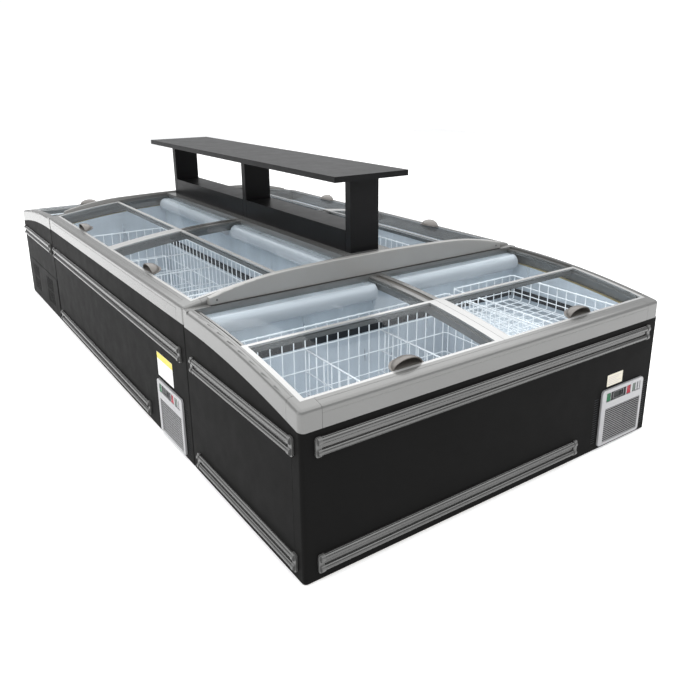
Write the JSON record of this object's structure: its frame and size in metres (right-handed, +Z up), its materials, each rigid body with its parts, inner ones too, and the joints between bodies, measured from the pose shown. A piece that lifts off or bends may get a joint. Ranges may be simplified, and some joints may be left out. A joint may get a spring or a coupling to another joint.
{
  "type": "chest freezer island",
  "caption": "Island of glass-topped chest freezers with curved sliding lids, wire baskets, bumper rails, control panels and a display shelf over the middle.",
  "frame": {"origin": "on the floor at the middle of the island", "axes": "+Y along the island, towards the rear end cabinet; +X to the right of a customer who faces the front end cabinet; +Z up"},
  "size_m": [2.076, 4.496, 1.286],
  "materials": {
    "casing_paint": "satin",
    "frame_silver": "satin",
    "lid_frame": "satin",
    "lid_glass": "gloss",
    "rear_glass": "gloss",
    "handle_taupe": "satin",
    "power_rocker": "gloss",
    "light_rocker": "gloss",
    "fan_plastic": "matte",
    "foam": "matte",
    "liner": "satin",
    "wire_white": "gloss",
    "lamp_diffuser": "gloss",
    "bumper_grey": "satin",
    "bumper_cap": "satin",
    "bezel_silver": "satin",
    "thermostat_black": "gloss",
    "compressor_black": "satin",
    "condenser_metal": "satin",
    "copper_tube": "satin",
    "foot_rubber": "matte",
    "arch_taupe": "satin",
    "shelf_black": "satin"
  },
  "bodies": {
    "island": {"arch_plates": "arch_taupe", "bumper_end_caps": "bumper_cap", "bumper_rails": "bumper_grey", "compressors": "compressor_black", "condensers": "condenser_metal", "control_bezels": "bezel_silver", "evaporator_coils": "copper_tube", "foam_insulation": "foam", "front_end_outer_casing": "casing_paint", "front_end_top_frame": "frame_silver", "left_row_outer_casing": "casing_paint", "left_row_top_frame": "frame_silver", "levelling_feet": "foot_rubber", "rear_end_outer_casing": "casing_paint", "rear_end_top_frame": "frame_silver", "rear_glass_panes": "rear_glass", "right_row_outer_casing": "casing_paint", "right_row_top_frame": "frame_silver", "shelf_board": "shelf_black", "shelf_frame": "shelf_black", "tank_lamps": "lamp_diffuser", "tank_liners": "liner", "thermostats": "thermostat_black", "wire_baskets": "wire_white"},
    "front_end_left_lid": {"front_end_left_lid_frame": "lid_frame", "front_end_left_lid_glass": "lid_glass", "front_end_left_lid_handle": "handle_taupe"},
    "front_end_right_lid": {"front_end_right_lid_frame": "lid_frame", "front_end_right_lid_glass": "lid_glass", "front_end_right_lid_handle": "handle_taupe"},
    "front_end_power_rocker": {"front_end_power_rocker": "power_rocker"},
    "front_end_light_rocker": {"front_end_light_rocker": "light_rocker"},
    "front_end_condenser_fan": {"front_end_condenser_fan": "fan_plastic"},
    "rear_end_left_lid": {"rear_end_left_lid_frame": "lid_frame", "rear_end_left_lid_glass": "lid_glass", "rear_end_left_lid_handle": "handle_taupe"},
    "rear_end_right_lid": {"rear_end_right_lid_frame": "lid_frame", "rear_end_right_lid_glass": "lid_glass", "rear_end_right_lid_handle": "handle_taupe"},
    "rear_end_power_rocker": {"rear_end_power_rocker": "power_rocker"},
    "rear_end_light_rocker": {"rear_end_light_rocker": "light_rocker"},
    "rear_end_condenser_fan": {"rear_end_condenser_fan": "fan_plastic"},
    "left_row_left_lid": {"left_row_left_lid_frame": "lid_frame", "left_row_left_lid_glass": "lid_glass", "left_row_left_lid_handle": "handle_taupe"},
    "left_row_right_lid": {"left_row_right_lid_frame": "lid_frame", "left_row_right_lid_glass": "lid_glass", "left_row_right_lid_handle": "handle_taupe"},
    "left_row_power_rocker": {"left_row_power_rocker": "power_rocker"},
    "left_row_light_rocker": {"left_row_light_rocker": "light_rocker"},
    "left_row_condenser_fan": {"left_row_condenser_fan": "fan_plastic"},
    "right_row_left_lid": {"right_row_left_lid_frame": "lid_frame", "right_row_left_lid_glass": "lid_glass", "right_row_left_lid_handle": "handle_taupe"},
    "right_row_right_lid": {"right_row_right_lid_frame": "lid_frame", "right_row_right_lid_glass": "lid_glass", "right_row_right_lid_handle": "handle_taupe"},
    "right_row_power_rocker": {"right_row_power_rocker": "power_rocker"},
    "right_row_light_rocker": {"right_row_light_rocker": "light_rocker"},
    "right_row_condenser_fan": {"right_row_condenser_fan": "fan_plastic"}
  },
  "joints": [
    {"name": "front_end_left_lid_slide", "type": "hinge", "parent": "island", "child": "front_end_left_lid", "pos_m": [0, -1.28, -4.236], "axis": [-1, 0, 0], "range_deg": [0, 5.03]},
    {"name": "front_end_right_lid_slide", "type": "hinge", "parent": "island", "child": "front_end_right_lid", "pos_m": [0, -1.28, -4.236], "axis": [-1, 0, 0], "range_deg": [0, 5.03]},
    {"name": "front_end_power_rocker_tilt", "type": "hinge", "parent": "island", "child": "front_end_power_rocker", "pos_m": [0.675, -2.23, 0.271], "axis": [1, 0, 0], "range_deg": [0, 14]},
    {"name": "front_end_light_rocker_tilt", "type": "hinge", "parent": "island", "child": "front_end_light_rocker", "pos_m": [0.832, -2.23, 0.271], "axis": [1, 0, 0], "range_deg": [0, 14]},
    {"name": "front_end_condenser_fan_spin", "type": "hinge", "parent": "island", "child": "front_end_condenser_fan", "pos_m": [0.789, -2.08, 0.128], "axis": [0, 1, 0], "continuous": true},
    {"name": "rear_end_left_lid_slide", "type": "hinge", "parent": "island", "child": "rear_end_left_lid", "pos_m": [0, 1.28, -4.236], "axis": [1, 0, 0], "range_deg": [0, 5.03]},
    {"name": "rear_end_right_lid_slide", "type": "hinge", "parent": "island", "child": "rear_end_right_lid", "pos_m": [0, 1.28, -4.236], "axis": [1, 0, 0], "range_deg": [0, 5.03]},
    {"name": "rear_end_power_rocker_tilt", "type": "hinge", "parent": "island", "child": "rear_end_power_rocker", "pos_m": [-0.675, 2.23, 0.271], "axis": [-1, 0, 0], "range_deg": [0, 14]},
    {"name": "rear_end_light_rocker_tilt", "type": "hinge", "parent": "island", "child": "rear_end_light_rocker", "pos_m": [-0.832, 2.23, 0.271], "axis": [-1, 0, 0], "range_deg": [0, 14]},
    {"name": "rear_end_condenser_fan_spin", "type": "hinge", "parent": "island", "child": "rear_end_condenser_fan", "pos_m": [-0.789, 2.08, 0.128], "axis": [0, -1, 0], "continuous": true},
    {"name": "left_row_left_lid_slide", "type": "hinge", "parent": "island", "child": "left_row_left_lid", "pos_m": [-0.07, 0, -4.138], "axis": [0, 1, 0], "range_deg": [0, 4.29]},
    {"name": "left_row_right_lid_slide", "type": "hinge", "parent": "island", "child": "left_row_right_lid", "pos_m": [-0.07, 0, -4.138], "axis": [0, 1, 0], "range_deg": [0, 4.29]},
    {"name": "left_row_power_rocker_tilt", "type": "hinge", "parent": "island", "child": "left_row_power_rocker", "pos_m": [-1.02, -0.885, 0.271], "axis": [0, -1, 0], "range_deg": [0, 14]},
    {"name": "left_row_light_rocker_tilt", "type": "hinge", "parent": "island", "child": "left_row_light_rocker", "pos_m": [-1.02, -1.042, 0.271], "axis": [0, -1, 0], "range_deg": [0, 14]},
    {"name": "left_row_condenser_fan_spin", "type": "hinge", "parent": "island", "child": "left_row_condenser_fan", "pos_m": [-0.87, -0.999, 0.128], "axis": [1, 0, 0], "continuous": true},
    {"name": "right_row_left_lid_slide", "type": "hinge", "parent": "island", "child": "right_row_left_lid", "pos_m": [0.07, 0, -4.138], "axis": [0, -1, 0], "range_deg": [0, 4.29]},
    {"name": "right_row_right_lid_slide", "type": "hinge", "parent": "island", "child": "right_row_right_lid", "pos_m": [0.07, 0, -4.138], "axis": [0, -1, 0], "range_deg": [0, 4.29]},
    {"name": "right_row_power_rocker_tilt", "type": "hinge", "parent": "island", "child": "right_row_power_rocker", "pos_m": [1.02, 0.885, 0.271], "axis": [0, 1, 0], "range_deg": [0, 14]},
    {"name": "right_row_light_rocker_tilt", "type": "hinge", "parent": "island", "child": "right_row_light_rocker", "pos_m": [1.02, 1.042, 0.271], "axis": [0, 1, 0], "range_deg": [0, 14]},
    {"name": "right_row_condenser_fan_spin", "type": "hinge", "parent": "island", "child": "right_row_condenser_fan", "pos_m": [0.87, 0.999, 0.128], "axis": [-1, 0, 0], "continuous": true}
  ]
}
